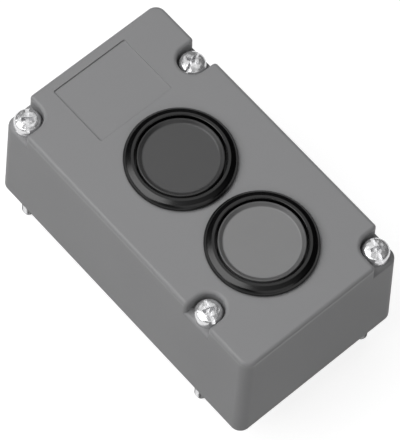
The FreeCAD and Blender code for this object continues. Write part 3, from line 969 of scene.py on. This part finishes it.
class MODULE_OT_stage(bpy.types.Operator):
    """Set up the floor, the lamps and the camera"""

    bl_idname = "control_module.stage"
    bl_label = "Stage"

    def execute(self, context):
        studio = context.scene.module_studio
        self.make_camera(context, studio)
        self.make_floor(context, studio)
        self.make_room(context, studio)
        middle = (Vector(CAD_BOX[0]) + Vector(CAD_BOX[1])) / 2
        for lamp in ("key", "fill", "top"):
            away = Vector(getattr(studio, f"{lamp}_direction")).normalized()
            place = middle + away * studio.distance
            size = getattr(studio, f"{lamp}_size")
            softbox(f"{lamp}_softbox", place, away, size, getattr(studio, lamp))
        context.scene.view_settings.view_transform = "Standard"
        return {"FINISHED"}

    def make_camera(self, context, studio):
        data = bpy.data.cameras.new("camera")
        data.lens = studio.focal_length
        data.sensor_width = 36
        data.clip_start = 0.01
        data.clip_end = 20
        camera = bpy.data.objects.new("camera", data)
        context.scene.collection.objects.link(camera)
        place = Vector(studio.camera_place)
        look = (Vector(studio.camera_aim) - place).to_track_quat("-Z", "Y")
        camera.rotation_mode = "QUATERNION"
        camera.rotation_quaternion = look @ Quaternion((0, 0, 1), studio.camera_roll)
        camera.location = place
        context.scene.camera = camera

    def make_room(self, context, studio):
        """Even light from overhead, a dark belt that gives gloss its contrast, a white backdrop."""
        world = bpy.data.worlds.new("room")
        world.use_nodes = True
        graph = Graph(world.node_tree)
        height = graph.axis(graph.add("ShaderNodeTexCoord", None, None, "Generated"), 2)
        room = graph.ramp(height, studio.gloom, studio.canopy, studio.horizon, studio.zenith)
        fade = studio.backdrop + studio.backdrop_fade
        white = graph.ramp(height, studio.backdrop, fade, 1.0, 0.0)
        strength = room + white * seen_directly(graph)
        sky = graph.add("ShaderNodeBackground", None, {"Color": (1, 1, 1, 1), "Strength": strength})
        graph.add("ShaderNodeOutputWorld", None, {"Surface": sky})
        context.scene.world = world

    def make_floor(self, context, studio):
        """White paper under the module, which can be looked through from below."""
        mesh = bpy.data.meshes.new("floor")
        bm = bmesh.new()
        bmesh.ops.create_grid(bm, x_segments=1, y_segments=1, size=studio.floor_reach)
        bmesh.ops.translate(bm, verts=bm.verts, vec=(0, 0, CAD_BOX[0].z))
        bm.to_mesh(mesh)
        bm.free()
        floor = bpy.data.objects.new("floor", mesh)
        context.scene.collection.objects.link(floor)
        material, graph, place = new_finish("floor_paper")
        paper = graph.noise(place, 2 * MM, detail=3)
        white = [studio.floor_white] * 3
        tone = graph.mixed(paper, shade(white, 0.99), shade(white, 1))
        matt = graph.add("ShaderNodeBsdfDiffuse", None, {"Color": tone})
        strength = seen_directly(graph) * studio.floor_lift
        lift = graph.add("ShaderNodeEmission", None, {"Color": (1, 1, 1, 1), "Strength": strength})
        lit = graph.add("ShaderNodeAddShader", None, {0: matt, 1: lift})
        clear = graph.add("ShaderNodeBsdfTransparent")
        below = graph.add("ShaderNodeNewGeometry", None, None, "Backfacing")
        surface = graph.add("ShaderNodeMixShader", None, {0: below, 1: lit, 2: clear})
        graph.add("ShaderNodeOutputMaterial", None, {"Surface": surface})
        floor.data.materials.append(material)


def seen_directly(graph):
    """1 where the camera sees a place, also in gloss or through glass, and 0 for its light."""
    seen = 0
    for ray in ("Is Camera Ray", "Is Glossy Ray", "Is Transmission Ray"):
        seen = graph.add("ShaderNodeLightPath", None, None, ray) + seen
    return graph.maths("MINIMUM", seen, 1.0)


def softbox(name, place, away, size, radiance):
    """A square lamp of this side and radiance, turned to face back along the direction away."""
    data = bpy.data.lights.new(name, "AREA")
    data.shape = "SQUARE"
    data.size = size
    data.energy = radiance * size * size * math.pi
    lamp = bpy.data.objects.new(name, data)
    bpy.context.scene.collection.objects.link(lamp)
    lamp.location = place
    lamp.rotation_mode = "QUATERNION"
    lamp.rotation_quaternion = (-away).to_track_quat("-Z", "Y")


class MODULE_PT_panel(bpy.types.Panel):
    """The module's steps"""

    bl_idname = "MODULE_PT_panel"
    bl_label = "Control module"
    bl_space_type = "VIEW_3D"
    bl_region_type = "UI"
    bl_category = "Control module"

    def draw(self, context):
        for step in STEPS:
            self.layout.operator(step.bl_idname)


STEPS = (
    MODULE_OT_stage,
    MODULE_OT_housing,
    MODULE_OT_buttons,
    MODULE_OT_seals,
    MODULE_OT_screws,
    MODULE_OT_springs,
    MODULE_OT_electronics,
)
GROUPS = {
    "module_screws": ScrewSizes,
    "module_springs": SpringSizes,
    "module_colours": Colours,
    "module_studio": Studio,
}


def register():
    for group in GROUPS.values():
        bpy.utils.register_class(group)
    for step in STEPS:
        bpy.utils.register_class(step)
    bpy.utils.register_class(MODULE_PT_panel)
    for name, group in GROUPS.items():
        setattr(bpy.types.Scene, name, PointerProperty(type=group))


def unregister():
    for name in GROUPS:
        delattr(bpy.types.Scene, name)
    bpy.utils.unregister_class(MODULE_PT_panel)
    for step in reversed(STEPS):
        bpy.utils.unregister_class(step)
    for group in GROUPS.values():
        bpy.utils.unregister_class(group)


def main():
    register()
    for step in STEPS:
        group, name = step.bl_idname.split(".")
        getattr(getattr(bpy.ops, group), name)()


if __name__ == "__main__":
    main()
